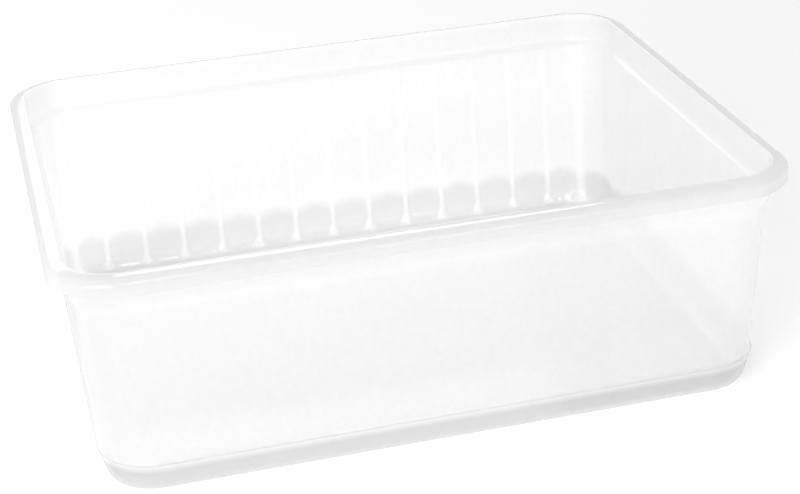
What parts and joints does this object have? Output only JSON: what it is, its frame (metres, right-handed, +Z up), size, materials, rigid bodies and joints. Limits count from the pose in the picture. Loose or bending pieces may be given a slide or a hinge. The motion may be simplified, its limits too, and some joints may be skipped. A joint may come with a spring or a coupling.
{
  "type": "plastic deli tub",
  "caption": "Open rectangular food tub: thin drafted walls with inner ribs, a bevelled floor, and an inverted-U rim over a collar and ledge that take a lid.",
  "frame": {"origin": "middle of the flat underside, where the tub rests", "axes": "+X along the long sides, +Y across the tub, +Z up through its open mouth"},
  "size_m": [0.18, 0.1456, 0.0595],
  "materials": {
    "polypropylene": "glossy, translucent natural polypropylene"
  },
  "bodies": {
    "root": {"tub": "polypropylene"}
  },
  "joints": []
}
